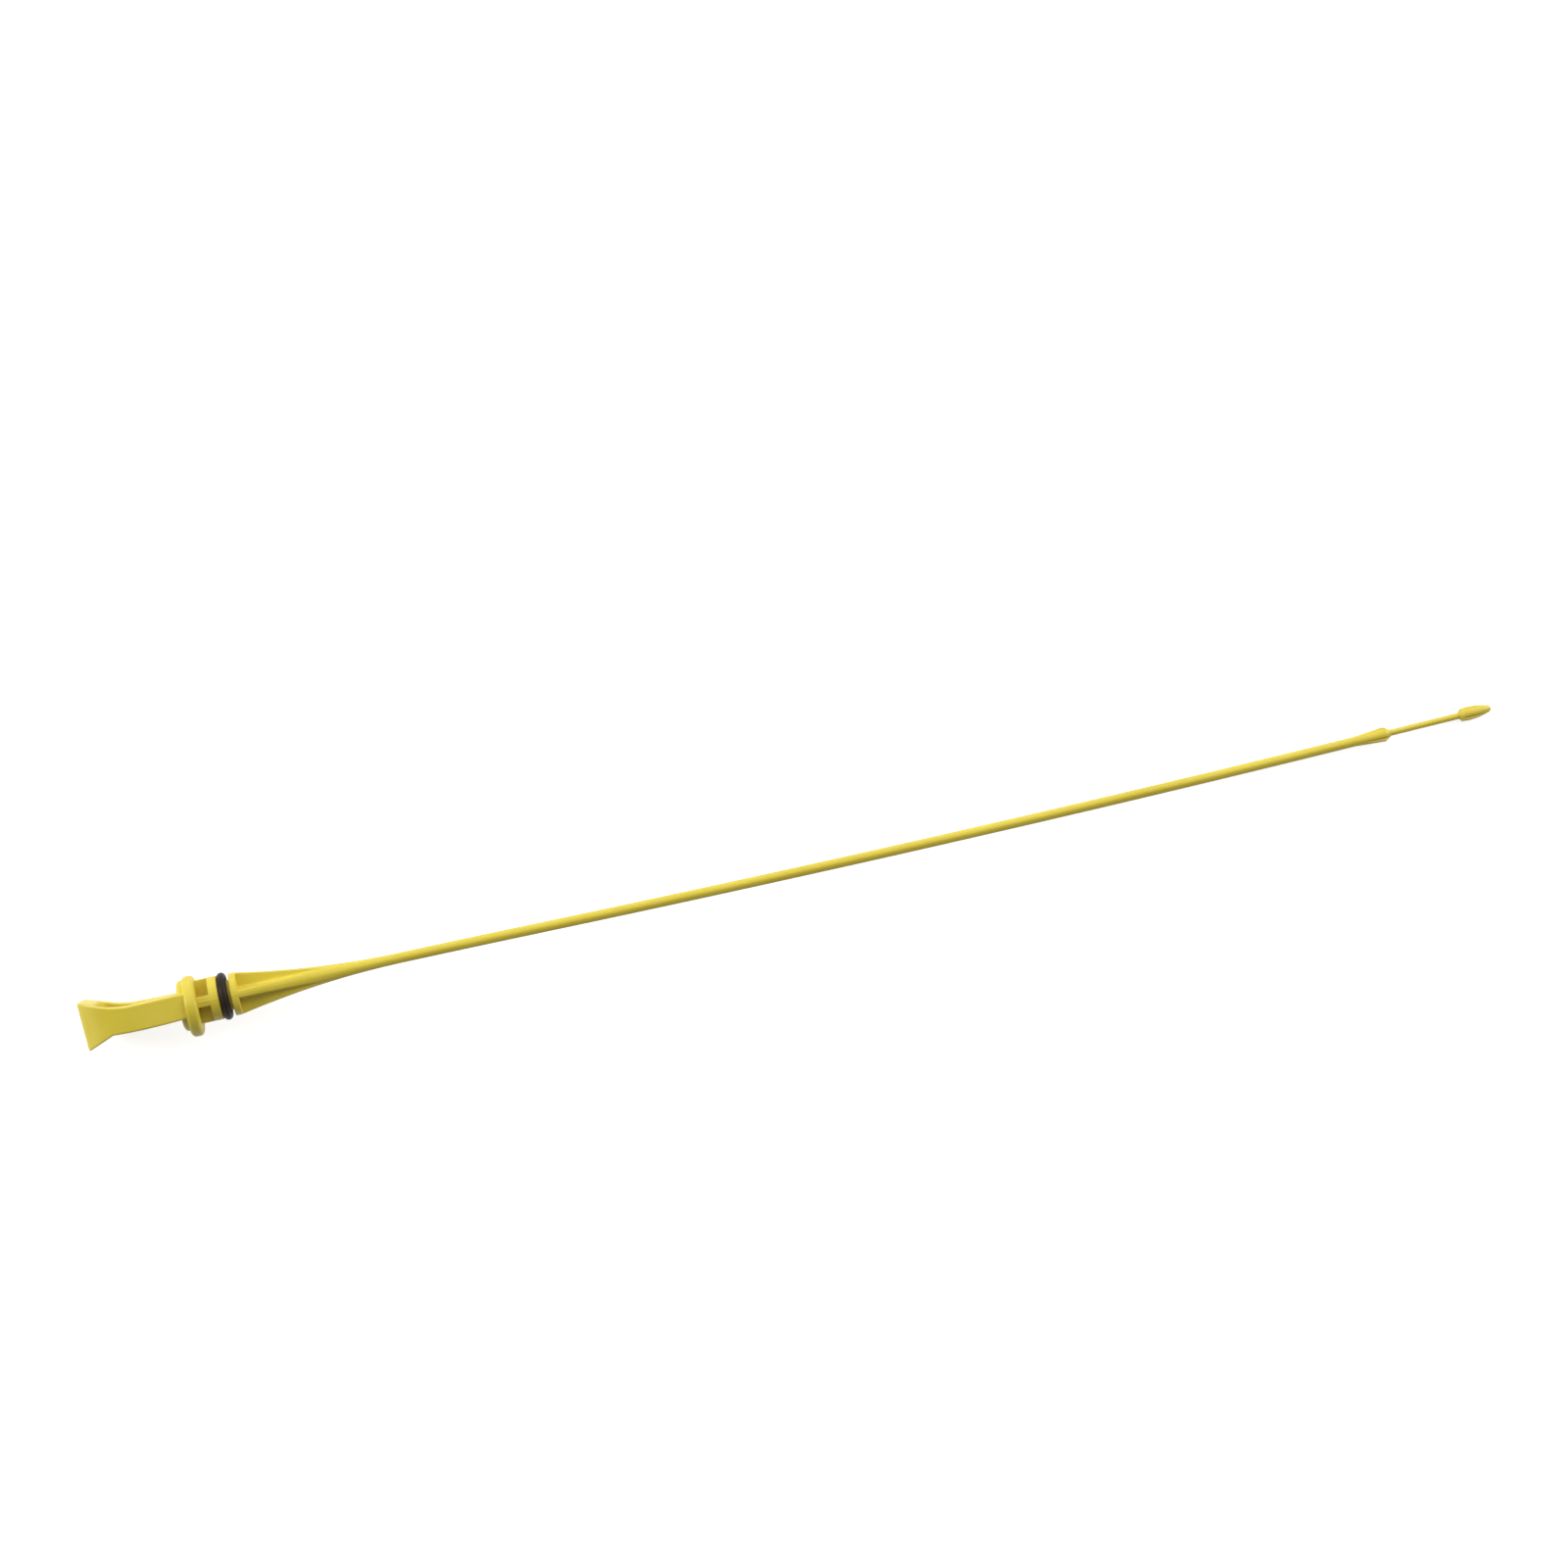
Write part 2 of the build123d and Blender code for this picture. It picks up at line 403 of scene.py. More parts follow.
    set_reach(None, None, reach, 0, 0, 1, 1)
    for (x, radius), (next_x, next_radius) in zip(stations[1:], stations[2:]):
        pick_end(x)
        bpy.ops.mesh.extrude_region_move(TRANSFORM_OT_translate={"value": ((next_x - x) * MM, 0, 0)})
        growth = (x - first_end) * math.tan(math.radians(draft))
        next_growth = (next_x - first_end) * math.tan(math.radians(draft))
        set_reach(next_x, radius, next_radius, growth, next_growth, edge_depth(x), edge_depth(next_x))
        if draft:
            tighten_corners(next_x, growth, next_growth)
    outward()
    close_mesh()
    return piece


def raise_parting_line(piece, low_x, high_x, low_radius):
    """Fine ridge on both sides of a round piece, where the two halves of the mould met."""
    shape(piece)
    for y in (-RIDGE_HALF_WIDTH, 0, RIDGE_HALF_WIDTH):
        bpy.ops.mesh.select_all(action="SELECT")
        bpy.ops.mesh.bisect(plane_co=(0, y * MM, 0), plane_no=(0, 1, 0), threshold=1e-7)
    pick(
        "VERT",
        lambda v: abs(v.co.y) < 1e-7
        and low_x < v.co.x / MM < high_x
        and abs(v.co.z) / MM > low_radius
        and abs(v.normal.z) > 0.6,
    )
    bpy.ops.transform.shrink_fatten(value=RIDGE_HEIGHT * MM)
    outward()
    close_mesh()


def plan_prism(name, low, high, pins):
    """A plan drawn along Y: a block and round or oval bars across it, hulled together."""
    prism = block(name, low, high)
    shape(prism)
    for x, z, length, width, sides in pins:
        bpy.ops.mesh.primitive_cylinder_add(
            vertices=sides,
            radius=width * MM,
            depth=(high[1] - low[1]) * MM,
            location=(x * MM, 0, z * MM),
            rotation=(math.pi / 2, 0, 0),
            scale=(length / width, 1, 1),
        )
    bpy.ops.mesh.select_all(action="SELECT")
    bpy.ops.mesh.convex_hull()
    outward()
    close_mesh()
    return prism


def make_finger_ring():
    """Half a straight band with its edges rounded, mirrored, then leaned and flared."""
    half = BAND_HALF_HEIGHT
    corner_x = -RING_END + RING_CORNER_LENGTH
    corner_z = RING_HALF_WIDTH - RING_CORNER
    ring = plan_prism(
        "finger_ring",
        (-FLANGE_THICKNESS, -half, -NECK_HALF_WIDTH),
        (-FLANGE_THICKNESS / 2, half, NECK_HALF_WIDTH),
        [
            (corner_x, side * corner_z, RING_CORNER_LENGTH, RING_CORNER, RING_CORNER_SIDES)
            for side in (1, -1)
        ],
    )
    opening = plan_prism(
        "finger_opening",
        (OPENING_MIDDLE_X, -half - 1, -1),
        (OPENING_MIDDLE_X + 1, half + 1, 1),
        [
            (OPENING_CORNER_X, side * OPENING_CORNER_Z, OPENING_CORNER, OPENING_CORNER, OPENING_SIDES)
            for side in (1, -1)
        ]
        + [(OPENING_APEX_X, 0, OPENING_APEX, OPENING_APEX, OPENING_SIDES)],
    )
    combine(ring, opening, "DIFFERENCE")
    shape(ring)
    outward()
    bpy.ops.mesh.bisect(plane_co=(0, 0, 0), plane_no=(0, 0, -1), use_fill=True, clear_outer=True)
    bpy.ops.mesh.select_all(action="SELECT")
    bpy.ops.mesh.dissolve_limited(angle_limit=math.radians(0.3))
    pick(
        "EDGE",
        lambda edge: -FLANGE_THICKNESS / 2 - 0.1 > middle(edge).x
        and middle(edge).z > 0.001
        and sorted(abs(face.normal.y) > 0.8 for face in edge.link_faces) == [False, True],
    )
    bpy.ops.mesh.bevel(
        offset=BAND_EDGE_ROUND * MM,
        segments=BAND_EDGE_STEPS,
        profile=0.5,
        affect="EDGES",
        loop_slide=False,
    )
    pick("FACE", lambda face: all(abs(v.co.z) < 1e-7 for v in face.verts))
    bpy.ops.mesh.delete(type="ONLY_FACE")
    close_mesh()
    bpy.ops.object.modifier_add(type="MIRROR")
    mirror = ring.modifiers[-1]
    mirror.use_axis = (False, False, True)
    mirror.merge_threshold = 1e-6
    bpy.ops.object.modifier_apply(modifier=mirror.name)
    shape(ring)
    outward()
    for x in NECK_STATIONS + UPPER_BEND_STATIONS + LOWER_BEND_STATIONS:
        bpy.ops.mesh.select_all(action="SELECT")
        bpy.ops.mesh.bisect(plane_co=(x * MM, 0, 0), plane_no=(1, 0, 0))
    lean_and_flare()
    outward()
    close_mesh()
    return ring


def bend_rise(x, start, angle, bend):
    """Rise of the band's edge at x, where it is level, then bends, then slopes away."""
    slope = math.tan(math.radians(angle))
    reach = bend * math.tan(math.radians(angle) / 2)
    past_bend = -x - (start - reach)
    if past_bend <= 0:
        return 0.0
    if past_bend >= bend * math.sin(math.radians(angle)):
        return (-x - start) * slope
    return bend - math.sqrt(bend * bend - past_bend * past_bend)


def band_rise(x, side):
    """How far the band's upper or lower edge stands off level at x: its belly and its flare."""
    if side > 0:
        return bend_rise(x, FLARE_START_UPPER, FLARE_ANGLE_UPPER, FLARE_ROUND_UPPER)
    belly = BELLY_SAG * max(0.0, 1 - ((x + BELLY_MIDDLE) / BELLY_REACH) ** 2)
    return belly + bend_rise(x, FLARE_START_LOWER, FLARE_ANGLE_LOWER, FLARE_ROUND_LOWER)


def lean_and_flare():
    """Slides the levels of the straight band along X, then moves its columns out to the flared edges."""
    lean = math.tan(math.radians(RING_LEAN))
    mesh = bmesh.from_edit_mesh(bpy.context.object.data)
    for level in sorted({round(v.co.y / MM, 3) for v in mesh.verts}):
        pick("VERT", lambda v: abs(v.co.y / MM - level) < 0.001)
        bpy.ops.transform.translate(value=(-level * lean * MM, 0, 0))
    for side in (1, -1):
        mesh = bmesh.from_edit_mesh(bpy.context.object.data)
        places = {}
        for vertex in mesh.verts:
            if vertex.co.y * side > 0:
                places.setdefault(round(vertex.co.x / MM / COLUMN_WIDTH), []).append(vertex.index)
        for column, members in places.items():
            x = column * COLUMN_WIDTH
            rise = 0.0
            for _ in range(6):
                rise = band_rise(x - side * rise * lean, side)
            members = set(members)
            pick("VERT", lambda v: v.index in members)
            bpy.ops.transform.translate(value=(-side * rise * lean * MM, side * rise * MM, 0))


def make_plug():
    """Boss, flange, cored pocket, land, seal groove and collar, all in one."""
    plug = turned("plug", [(BOSS_START, BOSS_RADIUS), (BOSS_END, BOSS_RADIUS)], offset_y=-BOSS_OFFSET)
    round_rims(plug, [BOSS_START], BOSS_EDGE_ROUND, BOSS_EDGE_STEPS)

    flange = turned(
        "flange",
        [(-FLANGE_THICKNESS, FLANGE_RADIUS), (0, FLANGE_RADIUS)],
        FLANGE_SIDES,
        -FLANGE_OFFSET,
    )
    round_rims(flange, [-FLANGE_THICKNESS, 0], FLANGE_RIM_ROUND, FLANGE_RIM_STEPS)
    raise_parting_line(flange, -FLANGE_THICKNESS, 0, FLANGE_RADIUS - FLANGE_RIM_ROUND)
    combine(plug, flange, "UNION")

    reach = LAND_RADIUS - NEAR
    stations = [
        (-POCKET_WEB_LAP, reach),
        (LAND_START, reach),
        (LAND_START + POCKET_WEB_LAP, reach - POCKET_WEB_SINK),
    ]
    ridge = (RIDGE_HEIGHT, RIDGE_HALF_WIDTH)
    webs = crossed_webs(
        "pocket_webs", stations, NEAR_WEB, SIDE_WEB, POCKET_ROUND, POCKET_ROUND_STEPS, ridge
    )
    combine(plug, webs, "UNION")

    bevel = PLUG_EDGE_BEVEL
    seat = turned(
        "seal_seat",
        [
            (LAND_START, LAND_RADIUS),
            (GROOVE_START - bevel, LAND_RADIUS),
            (GROOVE_START, LAND_RADIUS - bevel),
            (GROOVE_START, GROOVE_RADIUS),
            (COLLAR_START, GROOVE_RADIUS),
            (COLLAR_START, COLLAR_RADIUS - bevel),
            (COLLAR_START + bevel, COLLAR_RADIUS),
            (ROOT_START - bevel, COLLAR_RADIUS),
            (ROOT_START, COLLAR_RADIUS - bevel),
        ],
    )
    raise_parting_line(seat, LAND_START, ROOT_START, GROOVE_RADIUS + 1)
    combine(plug, seat, "UNION")
    return plug


def flank(start, end, start_radius, end_radius, steps):
    """Stations along a flank that is an arc and runs out level at its end."""
    length = end - start
    drop = start_radius - end_radius
    bend = (length * length + drop * drop) / (2 * drop)
    stations = []
    for step in range(steps + 1):
        x = start + length * step / steps
        rise = bend - math.sqrt(bend * bend - (end - x) ** 2)
        stations.append((x, end_radius + rise))
    return stations


def make_root():
    """Crossed webs trimmed to the horn that runs out into the rod."""
    stations = flank(ROOT_START, ROOT_END, ROOT_RADIUS, ROD_RADIUS, ROOT_STEPS)
    webs = [(x, radius) for x, radius in stations if radius > WEBS_END_RADIUS]
    webs_end, webs_radius = webs[-1]
    webs = [(ROOT_START - ROOT_LAP, ROOT_RADIUS)] + webs + [(ROOT_END + 1, webs_radius + 2)]
    root = crossed_webs(
        "webbed_root",
        webs,
        ROOT_WEB,
        ROOT_WEB,
        ROOT_WEB_ROUND,
        ROOT_WEB_ROUND_STEPS,
        (ROOT_ROOF, ROOT_WEB / 2),
        ROOT_DRAFT,
        (webs_end, ROOT_FADE),
        ROOT_FACETS,
    )

    run_out = [(ROOT_START - 2, ROOT_RADIUS + 3), (webs_end, webs_radius + NEAR)]
    for x, radius in stations:
        if x > webs_end + NEAR:
            run_out.append((x, radius + NEAR * (ROOT_END - x) / (ROOT_END - webs_end)))
    horn = turned("horn", run_out, ROD_SIDES)
    shape(horn)
    for side in (1, -1):
        pick("VERT", lambda v: abs(v.co.y) < 1e-7 and v.co.z * side > 0)
        bpy.ops.transform.translate(value=(0, 0, side * ROD_RIDGE_HEIGHT * MM))
    close_mesh()
    return combine(root, horn, "INTERSECT")


def end_of_rod(stick):
    """Middle and heading of the one face that is selected at the end of the rod."""
    face = [f for f in bmesh.from_edit_mesh(stick.data).faces if f.select][0]
    return middle(face), face.normal.copy()


def add_rod(stick):
    """The rod, spun on from the end of the root along the two arcs of its bow."""
    shape(stick)
    pick_end(ROOT_END)
    for turn, length, steps in (
        (ROD_LEAD_TURN, ROD_LEAD, ROD_LEAD_STEPS),
        (ROD_TURN, ROD_LENGTH, ROD_STEPS),
    ):
        place, heading = end_of_rod(stick)
        sideways = Vector((-heading.y, heading.x, 0)) * math.copysign(1, turn)
        bow = length / math.radians(abs(turn))
        bpy.ops.mesh.spin(
            steps=steps,
            angle=-math.radians(turn),
            center=(place + sideways * bow) * MM,
            axis=(0, 0, 1),
        )
    place, heading = end_of_rod(stick)
    bpy.ops.mesh.delete(type="ONLY_FACE")
    crest = ROD_RADIUS + ROD_RIDGE_HEIGHT / 2
    for side in (1, -1):
        pick("VERT", lambda v: v.co.x / MM > place.x - 0.2 and v.co.z * side / MM > crest)
        bpy.ops.transform.translate(value=(0, 0, -side * ROD_RIDGE_HEIGHT * MM))
    for x in (WITNESS_PLACE - WITNESS_HALF_WIDTH, WITNESS_PLACE, WITNESS_PLACE + WITNESS_HALF_WIDTH):
        pick("FACE", lambda face: ROOT_END - 0.1 < middle(face).x < ROOT_END + ROD_LEAD)
        bpy.ops.mesh.bisect(plane_co=(x * MM, 0, 0), plane_no=(1, 0, 0))
    pick("VERT", lambda v: abs(v.co.x / MM - WITNESS_PLACE) < 0.001 and v.co.y / MM < 0.1)
    bpy.ops.transform.shrink_fatten(value=WITNESS_HEIGHT * MM)
    close_mesh()
    return place, heading


def fins(name, start, end):
    """Four webs along the stick, turned a little about its axis as the thin rod has let them."""
    stations = [(start, FIN_REACH), (end, FIN_REACH)]
    webs = crossed_webs(name, stations, FIN_WEB, FIN_WEB, FIN_WEB_ROUND, FIN_WEB_ROUND_STEPS)
    webs.rotation_euler = (math.radians(FIN_TURN), 0, 0)
    bpy.ops.object.transform_apply(location=True, rotation=True, scale=True)
    return webs


def open_end(piece, x, facing):
    """Takes the flat end off a round piece, so that the next one can be joined to its rim."""
    shape(piece)
    pick_end(x, facing)
    bpy.ops.mesh.delete(type="ONLY_FACE")
    close_mesh()


def make_marks():
    """Upper mark, level gauge and finned tip, drawn along X from the origin."""
    mark_end = MARK_FIN_LENGTH + MARK_RUN_OUT
    marks = fins("level_marks", -1, mark_end + 1)
    stations = [(0, ROD_RADIUS), (MARK_FIN_LENGTH, MARK_RADIUS), (mark_end, GAUGE_RADIUS)]
    combine(marks, turned("mark_trim", stations, ROD_SIDES), "INTERSECT")
    shape(marks)
    pick_end(mark_end)
    bpy.ops.mesh.extrude_region_move(TRANSFORM_OT_translate={"value": (GAUGE_LENGTH * MM, 0, 0)})
    bpy.ops.mesh.delete(type="ONLY_FACE")
    close_mesh()
    open_end(marks, 0, -1)

    tip_start = mark_end + GAUGE_LENGTH
    tip_end = tip_start + TIP_LENGTH
    widest = tip_start + TIP_RISE + TIP_SHOULDER
    stations = [(tip_start, GAUGE_RADIUS), (tip_start + TIP_RISE, TIP_BLUNT_RADIUS)]
    taper_end = tip_end - NOSE_LENGTH
    for step in range(TIP_TAPER_STEPS + 1):
        t = step / TIP_TAPER_STEPS
        x = (1 - t) ** 2 * widest + 2 * t * (1 - t) * (widest + tip_end) / 2 + t * t * taper_end
        stations.append((x, ((1 - t) ** 2 + 2 * t * (1 - t)) * TIP_RADIUS + t * t * NOSE_RADIUS))
    nose_bend = (NOSE_LENGTH**2 + NOSE_RADIUS**2) / (2 * NOSE_LENGTH)
    for step in range(1, NOSE_STEPS + 1):
        x = taper_end + NOSE_LENGTH * math.sin(math.pi / 2 * step / NOSE_QUARTER)
        stations.append((x, math.sqrt(nose_bend**2 - (x - tip_end + nose_bend) ** 2)))
    tip = fins("tip", tip_start - 1, tip_end + 1)
    combine(tip, turned("tip_trim", stations, ROD_SIDES), "INTERSECT")
    open_end(tip, tip_start, -1)
    return join_rims(marks, tip)


def join_rims(piece, addition):
    """Joins two pieces whose open rims lie on each other, and merges the rims."""
    bpy.ops.object.select_all(action="DESELECT")
    addition.select_set(True)
    piece.select_set(True)
    bpy.context.view_layer.objects.active = piece
    bpy.ops.object.join()
    shape(piece)
    bpy.ops.mesh.select_all(action="SELECT")
    bpy.ops.mesh.remove_doubles(threshold=RIM_MERGE * MM)
    bpy.ops.mesh.normals_make_consistent(inside=False)
    close_mesh()
    return piece


def make_stick():
    """Root, rod and level marks in one, along the bow."""
    stick = make_root()
    rod_end, heading = add_rod(stick)
    marks = make_marks()
    marks.location = rod_end * MM
    marks.rotation_euler = (0, 0, math.atan2(heading.y, heading.x))
    bpy.ops.object.select_all(action="DESELECT")
    marks.select_set(True)
    bpy.context.view_layer.objects.active = marks
    bpy.ops.object.transform_apply(location=True, rotation=True, scale=True)
    return join_rims(stick, marks)


def make_moulding():
    """The whole moulding in one mesh: plug, finger ring and stick."""
    moulding = make_plug()
    combine(moulding, make_finger_ring(), "UNION")
    combine(moulding, make_stick(), "UNION")
    moulding.name = "dipstick_moulding"
    shape(moulding)
    bpy.ops.mesh.select_all(action="SELECT")
    bpy.ops.mesh.remove_doubles(threshold=SLIVER * MM)
    bpy.ops.mesh.dissolve_degenerate(threshold=SLIVER * MM)
    outward()
    close_mesh()
    return moulding


def make_seal():
    """Rubber ring: a round section spun about the plug axis, with the fine seam of its mould outside."""
    bpy.ops.object.select_all(action="DESELECT")
    bpy.ops.mesh.primitive_circle_add(
        vertices=SEAL_SECTION_SIDES,
        radius=SEAL_SECTION / 2 * MM,
        location=(SEAL_CENTRE * MM, SEAL_PATH_RADIUS * MM, 0),
    )
    seal = name_new("sealing_ring")
    shape(seal)
    bpy.ops.mesh.select_all(action="SELECT")
    bpy.ops.mesh.spin(
        steps=SEAL_STEPS, angle=2 * math.pi, center=(SEAL_CENTRE * MM, 0, 0), axis=(1, 0, 0)
    )
    outward()
    pick("VERT", lambda v: from_axis(v.co) / MM > SEAL_PATH_RADIUS + SEAL_SECTION / 2 - 0.002)
    bpy.ops.transform.shrink_fatten(value=SEAL_SEAM * MM)
    close_mesh()
    return seal


def on_parting_line(edge):
    """True for the edges that run along the crest and the feet of the plug's parting line."""
    start, end = (vertex.co / MM for vertex in edge.verts)
    along = abs(start.y - end.y) < 1e-4
    on_line = min(abs(abs(start.y) - y) for y in (0, RIDGE_HALF_WIDTH)) < 1e-4
    outside = min(from_axis(start), from_axis(end)) > GROOVE_RADIUS + 1
    return along and on_line and outside and max(start.x, end.x) < ROOT_START


def smooth(piece, angle, crease):
    """Shades a piece smooth, apart from its corners and the edges that the test picks as creases."""
    bpy.ops.object.select_all(action="DESELECT")
    piece.select_set(True)
    bpy.context.view_layer.objects.active = piece
    bpy.ops.object.shade_smooth_by_angle(angle=math.radians(angle))
    shape(piece)
    pick("EDGE", crease)
    bpy.ops.mesh.mark_sharp()
    close_mesh()
    bpy.ops.object.modifier_add(type="WEIGHTED_NORMAL")
    piece.modifiers[-1].keep_sharp = True
    bpy.ops.object.modifier_apply(modifier=piece.modifiers[-1].name)


moulding = make_moulding()
seal = make_seal()
smooth(moulding, PLASTIC_SMOOTH, on_parting_line)
smooth(seal, RUBBER_SMOOTH, lambda edge: False)

PLASTIC_PALE = (0.76, 0.61, 0.05, 1)
PLASTIC_DEEP = (0.69, 0.545, 0.034, 1)
PLASTIC_GLOSS = (0.36, 0.5)
PLASTIC_PATCHES = (14, (0.5, 1, 1))
PLASTIC_GRAIN = (0.5, 0.02)
PLASTIC_SPECULAR = 0.5
RUBBER_BROWN = (0.028, 0.013, 0.007, 1)
RUBBER_BLACK = (0.01, 0.006, 0.005, 1)
RUBBER_GLOSS = (0.36, 0.5)
RUBBER_PATCHES = (3, (1, 1, 1))
RUBBER_GRAIN = (0.3, 0.02)
RUBBER_SPECULAR = 0.16


def pattern(material, size_mm, detail, stretch=(1, 1, 1)):
    """Noise fixed to the piece, with patches of about this size."""
    nodes = material.node_tree.nodes
    place = nodes.new("ShaderNodeTexCoord")
    along = nodes.new("ShaderNodeMapping")
    along.inputs["Scale"].default_value = stretch
    noise = nodes.new("ShaderNodeTexNoise")
    noise.inputs["Scale"].default_value = 1 / (size_mm * MM)
    noise.inputs["Detail"].default_value = detail
    material.node_tree.links.new(place.outputs["Object"], along.inputs["Vector"])
    material.node_tree.links.new(along.outputs["Vector"], noise.inputs["Vector"])
    return noise.outputs["Fac"]


def between(material, amount, low, high):
    """Spreads the middle of a noise over the range from one value to the other."""
    spread = material.node_tree.nodes.new("ShaderNodeMapRange")
    spread.inputs["From Min"].default_value = 0.3
    spread.inputs["From Max"].default_value = 0.7
    spread.inputs["To Min"].default_value = low
    spread.inputs["To Max"].default_value = high
    material.node_tree.links.new(amount, spread.inputs["Value"])
    return spread.outputs["Result"]


def blend(material, amount, first, second):
    """Colour between two others, by an amount."""
    mix = material.node_tree.nodes.new("ShaderNodeMix")
    mix.data_type = "RGBA"
    mix.inputs["A"].default_value = first
    mix.inputs["B"].default_value = second
    material.node_tree.links.new(amount, mix.inputs["Factor"])
    return mix.outputs["Result"]


def surface(name, colours, patches, gloss, grain, specular):
    """Material whose colour drifts in patches, and whose gloss and fine grain vary from place to place."""
    material = bpy.data.materials.new(name)
    material.use_nodes = True
    links = material.node_tree.links
    shader = material.node_tree.nodes["Principled BSDF"]
    shader.inputs["Specular IOR Level"].default_value = specular
    size_mm, stretch = patches
    grain_mm, grain_depth = grain
    drift = between(material, pattern(material, size_mm, 3, stretch), 0, 1)
    links.new(blend(material, drift, *colours), shader.inputs["Base Color"])
    polish = pattern(material, size_mm / 6, 4)
    links.new(between(material, polish, *gloss), shader.inputs["Roughness"])
    bump = material.node_tree.nodes.new("ShaderNodeBump")
    bump.inputs["Strength"].default_value = 1.0
    bump.inputs["Distance"].default_value = grain_depth * MM
    links.new(pattern(material, grain_mm, 2), bump.inputs["Height"])
    links.new(bump.outputs["Normal"], shader.inputs["Normal"])
    return material


yellow_plastic = surface(
    "yellow_plastic",
    (PLASTIC_DEEP, PLASTIC_PALE),
    PLASTIC_PATCHES,
    PLASTIC_GLOSS,
    PLASTIC_GRAIN,
    PLASTIC_SPECULAR,
)
black_rubber = surface(
    "black_rubber",
    (RUBBER_BLACK, RUBBER_BROWN),
    RUBBER_PATCHES,
    RUBBER_GLOSS,
    RUBBER_GRAIN,
    RUBBER_SPECULAR,
)
moulding.data.materials.append(yellow_plastic)
seal.data.materials.append(black_rubber)
for piece, node, slot in (
    (moulding, "moulded_stick", "yellow_plastic"),
    (seal, "o_ring", "black_rubber"),
):
    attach(piece, "root")
    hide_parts(node)

# Floor under the ring's edge and the tip of the stick, which lies on it at a slight slope
FLOOR_SIZE = 4
FLOOR_TILT = 1.421
FLOOR_PLACE = (-26.164, 0, -13.0)
FLOOR_PALE = (0.62, 0.62, 0.62, 1)
FLOOR_GLOW = 0.8
bpy.ops.object.select_all(action="DESELECT")
bpy.ops.mesh.primitive_plane_add(
    size=FLOOR_SIZE,
    location=Vector(FLOOR_PLACE) * MM,
    rotation=(0, -math.radians(FLOOR_TILT), 0),
)
floor = bpy.context.object
floor.name = "floor"


def direct_sight(tree):
    """1 for what the camera sees, itself or in gloss or through glass, and 0 for what only gives light."""
    light_path = tree.nodes.new("ShaderNodeLightPath")
    sight = light_path.outputs["Is Camera Ray"]
    for ray in ("Is Glossy Ray", "Is Transmission Ray"):
        either = tree.nodes.new("ShaderNodeMath")
        either.operation = "MAXIMUM"
        tree.links.new(sight, either.inputs[0])
        tree.links.new(light_path.outputs[ray], either.inputs[1])
        sight = either.outputs[0]
    return sight


def floor_white():
    """Pale matt floor that the camera sees near white, with the soft shadow left on it."""
    material = bpy.data.materials.new("floor_white")
    material.use_nodes = True
    nodes = material.node_tree.nodes
    links = material.node_tree.links
    shader = nodes["Principled BSDF"]
    shader.inputs["Base Color"].default_value = FLOOR_PALE
    shader.inputs["Roughness"].default_value = 0.9
    shader.inputs["Specular IOR Level"].default_value = 0.0
    glow = nodes.new("ShaderNodeEmission")
    glow.inputs["Strength"].default_value = FLOOR_GLOW
    seen = nodes.new("ShaderNodeMixShader")
    both = nodes.new("ShaderNodeAddShader")
    links.new(shader.outputs[0], both.inputs[0])
    links.new(glow.outputs[0], both.inputs[1])
    links.new(direct_sight(material.node_tree), seen.inputs[0])
    links.new(shader.outputs[0], seen.inputs[1])
    links.new(both.outputs[0], seen.inputs[2])
    links.new(seen.outputs[0], nodes["Material Output"].inputs["Surface"])
    return material


floor.data.materials.append(floor_white())

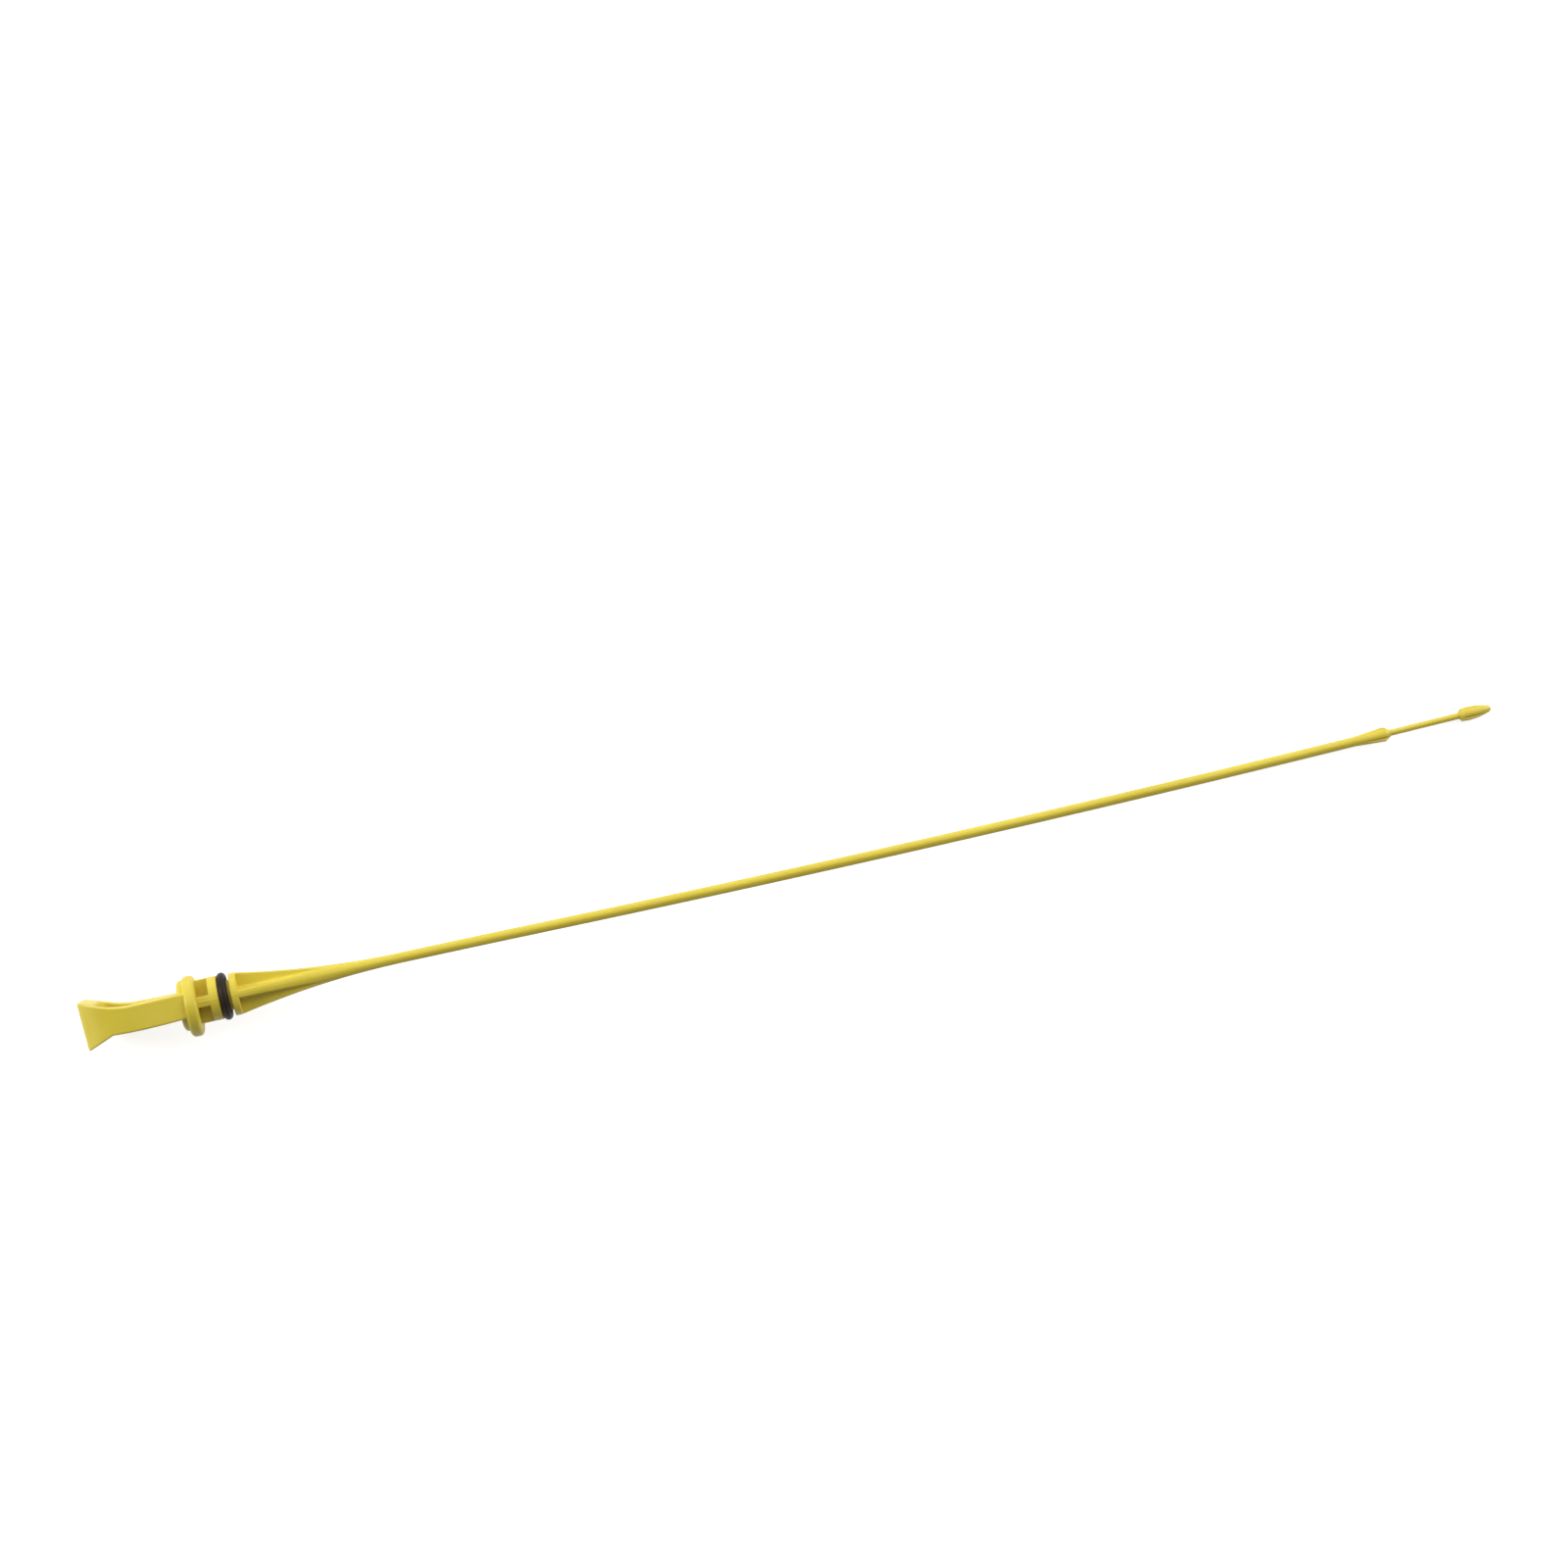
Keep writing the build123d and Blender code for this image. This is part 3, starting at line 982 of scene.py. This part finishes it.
# Camera at the photograph's place, turned about its line of sight
CAMERA_PLACE = (55.365, 31.579, 653.795)
CAMERA_FORWARD = (0.1943, -0.0072, -1)
CAMERA_ROLL = 11.802
CAMERA_LENS = 50.0
CAMERA_SENSOR = 36.0
forward = Vector(CAMERA_FORWARD).normalized()
level_right = forward.cross(Vector((0, 1, 0))).normalized()
level_up = level_right.cross(forward)
roll = math.radians(CAMERA_ROLL)
right = math.cos(roll) * level_right - math.sin(roll) * level_up
up = math.sin(roll) * level_right + math.cos(roll) * level_up
camera_data = bpy.data.cameras.new("camera")
camera_data.lens = CAMERA_LENS
camera_data.sensor_width = CAMERA_SENSOR
camera = bpy.data.objects.new("camera", camera_data)
bpy.context.scene.collection.objects.link(camera)
turn = Matrix((right, up, -forward)).transposed()
camera.matrix_world = Matrix.Translation(Vector(CAMERA_PLACE) * MM) @ turn.to_4x4()
bpy.context.scene.camera = camera

# Soft lights, each with its place and size in metres and its energy, in a pale room
SOFT_LIGHTS = (
    ("top_light", (0.1, 0.75, 0.05), (1.6, 0.4), 4.5),
    ("high_light", (0.1, 0.45, 0.7), (1.6, 0.5), 3.05),
    ("right_light", (1.6, 0.6, 0.55), (1.0, 1.0), 13.2),
    ("left_light", (-1.2, 0.48, 0.48), (0.8, 0.8), 12.6),
)
WORLD_STRENGTH = 0.14
WALL_STRENGTH = 0.85


def soft_light(name, place, size, energy):
    """Broad studio light that faces the plug and isn't itself seen."""
    bpy.ops.object.light_add(type="AREA", location=place)
    light = bpy.context.object
    light.name = name
    light.data.shape = "RECTANGLE"
    light.data.size, light.data.size_y = size
    light.data.energy = energy
    light.visible_camera = False
    light.rotation_euler = (-light.location).to_track_quat("-Z", "Y").to_euler()


for light in SOFT_LIGHTS:
    soft_light(*light)


def white_studio():
    """Even weak light from all round, seen as a pale room."""
    world = bpy.data.worlds.new("studio")
    world.use_nodes = True
    nodes = world.node_tree.nodes
    links = world.node_tree.links
    ambient = nodes["Background"]
    walls = nodes.new("ShaderNodeBackground")
    for background, strength in ((ambient, WORLD_STRENGTH), (walls, WALL_STRENGTH)):
        background.inputs["Color"].default_value = (1, 1, 1, 1)
        background.inputs["Strength"].default_value = strength
    seen = nodes.new("ShaderNodeMixShader")
    links.new(direct_sight(world.node_tree), seen.inputs[0])
    links.new(ambient.outputs[0], seen.inputs[1])
    links.new(walls.outputs[0], seen.inputs[2])
    links.new(seen.outputs[0], nodes["World Output"].inputs["Surface"])
    return world


bpy.context.scene.world = white_studio()
bpy.context.scene.view_settings.view_transform = "Standard"
